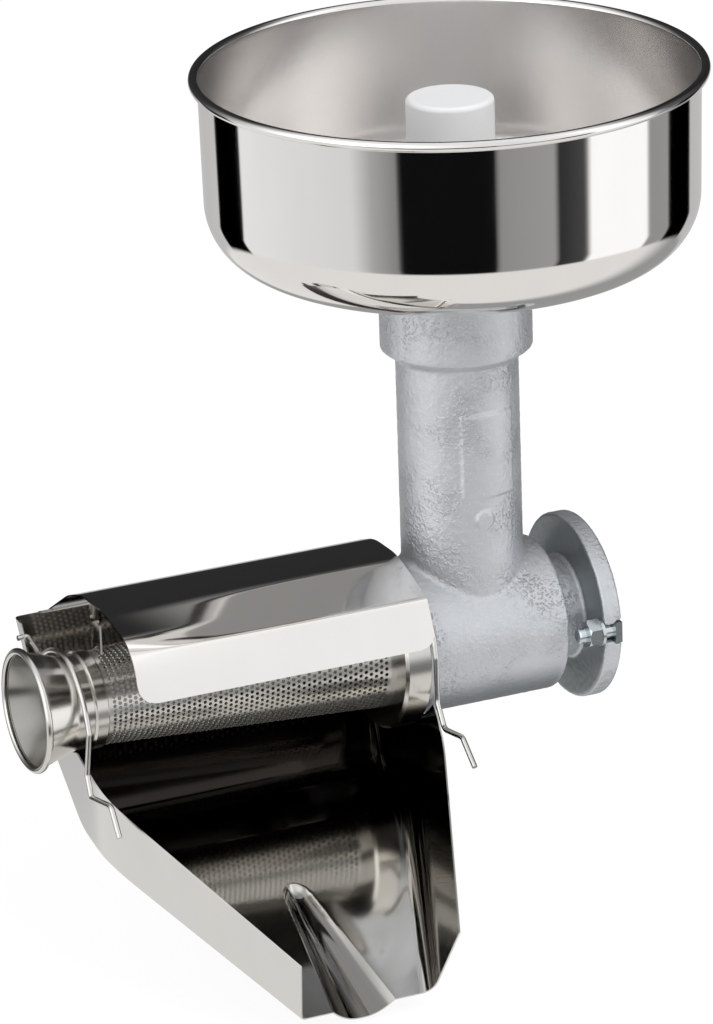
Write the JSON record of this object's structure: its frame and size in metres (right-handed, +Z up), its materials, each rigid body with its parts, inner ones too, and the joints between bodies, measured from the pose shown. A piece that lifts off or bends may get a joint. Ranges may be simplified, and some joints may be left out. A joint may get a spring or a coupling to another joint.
{
  "type": "tomato strainer attachment",
  "caption": "Tomato strainer for a rear drive: flanged cast body, round steel hopper with plunger, conical screen with auger, outlet funnel, juice trough, splash cover and wire bails.",
  "frame": {"origin": "centre of the drive flange's rear face, on the axis of the barrel and auger", "axes": "+X out of the flange's rear face, -X towards the outlet funnel, -Y towards the juice trough's pouring lip, +Z up towards the hopper's rim"},
  "size_m": [0.3685, 0.2919, 0.4274],
  "materials": {
    "cast_body": "fine sand-cast, tumbled",
    "turned_ring": "turned and polished",
    "hopper_steel": "polished outside, satin inside",
    "sheet_steel": "polished stainless sheet",
    "trough_steel": "polished stainless sheet",
    "spring_steel": "bright drawn wire",
    "steel_small": "machined",
    "zinc_steel": "zinc plated",
    "bronze": "plain bush",
    "seal_rubber": "matt black",
    "auger_plastic": "food-grade white",
    "plunger_plastic": "moulded white"
  },
  "bodies": {
    "housing": {"body_casting": "cast_body", "bayonet_pins": "steel_small", "rear_bush": "bronze", "shaft_seal": "seal_rubber", "flange_bolts": "zinc_steel", "flange_washers": "zinc_steel", "flange_nuts": "zinc_steel", "strainer_gasket": "seal_rubber", "strainer_collar": "turned_ring", "strainer_screen": "sheet_steel", "strainer_end_ring": "sheet_steel", "outlet_funnel": "sheet_steel", "juice_trough": "trough_steel"},
    "auger_group": {"auger": "auger_plastic", "drive_shaft": "steel_small", "drive_pin": "steel_small", "thrust_washer": "steel_small", "shaft_circlip": "steel_small", "spring_seat": "steel_small", "thrust_spring": "spring_steel"},
    "hopper": {"hopper_bowl": "hopper_steel", "hopper_spout": "hopper_steel"},
    "plunger_body": {"plunger": "plunger_plastic"},
    "cover": {"splash_cover": "sheet_steel", "cover_stay_left": "sheet_steel", "cover_stay_right": "sheet_steel"},
    "left_wire": {"left_bail": "spring_steel"},
    "right_wire": {"right_bail": "spring_steel"}
  },
  "joints": [
    {"name": "auger_spin", "type": "hinge", "parent": "housing", "child": "auger_group", "pos_m": [0, 0, 0], "axis": [1, 0, 0], "continuous": true},
    {"name": "hopper_lift", "type": "slide", "parent": "housing", "child": "hopper", "axis": [0, 0, 1], "range_m": [0, 0.06]},
    {"name": "plunger_lift", "type": "slide", "parent": "hopper", "child": "plunger_body", "axis": [0, 0, 1], "range_m": [0, 0.245]},
    {"name": "cover_lift", "type": "slide", "parent": "housing", "child": "cover", "axis": [0, 0, 1], "range_m": [0, 0.12]},
    {"name": "left_bail_swing", "type": "hinge", "parent": "housing", "child": "left_wire", "pos_m": [-0.285, 0.0465, 0.0195], "axis": [1, 0, 0], "range_deg": [-110, 0]},
    {"name": "right_bail_swing", "type": "hinge", "parent": "housing", "child": "right_wire", "pos_m": [-0.1, 0.0465, 0.0195], "axis": [1, 0, 0], "range_deg": [-80, 0]}
  ]
}
